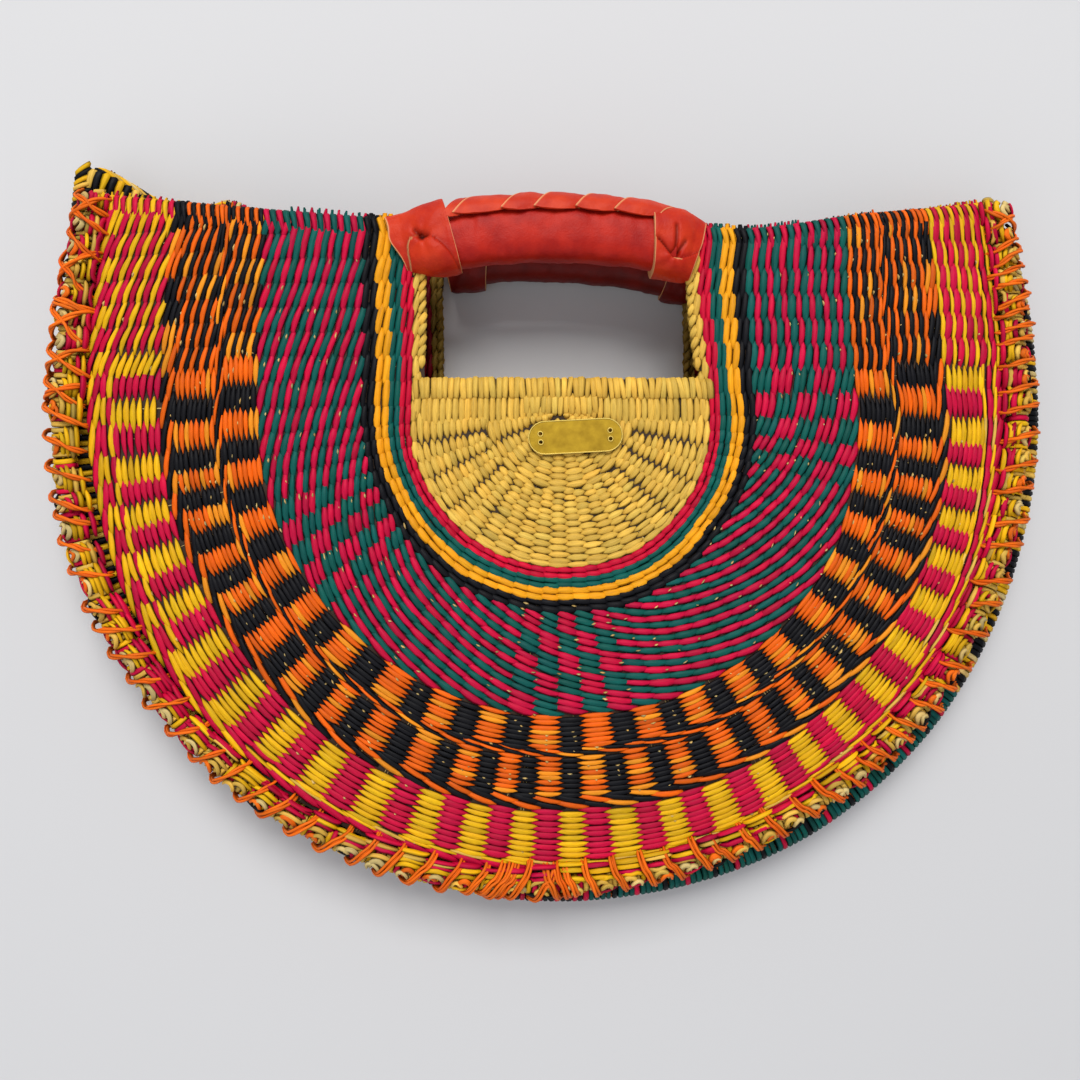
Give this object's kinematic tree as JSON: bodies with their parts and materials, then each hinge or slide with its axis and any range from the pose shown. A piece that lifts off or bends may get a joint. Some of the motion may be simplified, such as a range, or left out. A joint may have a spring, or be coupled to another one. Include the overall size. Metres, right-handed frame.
{
  "type": "woven straw handbag",
  "caption": "Half-moon handbag of twined dyed straw, two domed panels sewn round a curved rim, hand openings under leather-wrapped handles and a bare brass plate.",
  "frame": {"origin": "on the surface the bag lies on, below the middle of its outline", "axes": "+X along the top edge, to the right seen from the front panel; +Y from the round bottom up to the handles; +Z from the back panel to the front panel"},
  "size_m": [0.421, 0.3042, 0.0558],
  "materials": {
    "straw_weave": "twined dyed straw in pink, teal, orange, yellow, black and natural, matte with a slight sheen",
    "straw_border": "rolled straw border with orange whip stitches",
    "straw_core": "bundled natural straw",
    "leather_wrap": "red-orange dyed goat leather, semi-matte, soft wrinkles",
    "leather_lace": "red-orange leather lace with pale cut edges",
    "leather_cap": "folded red-orange leather with pale cut edges",
    "plate_brass": "aged satin brass, brighter rim"
  },
  "bodies": {
    "root": {"front_panel": "straw_weave", "back_panel": "straw_weave", "front_rim": "straw_border", "back_rim": "straw_border", "front_handle_core": "straw_core", "back_handle_core": "straw_core", "front_handle_wrap": "leather_wrap", "back_handle_wrap": "leather_wrap", "front_handle_lace": "leather_lace", "back_handle_lace": "leather_lace", "front_handle_cap_left": "leather_cap", "front_handle_cap_right": "leather_cap", "back_handle_cap_left": "leather_cap", "back_handle_cap_right": "leather_cap", "label_plate": "plate_brass"}
  },
  "joints": []
}
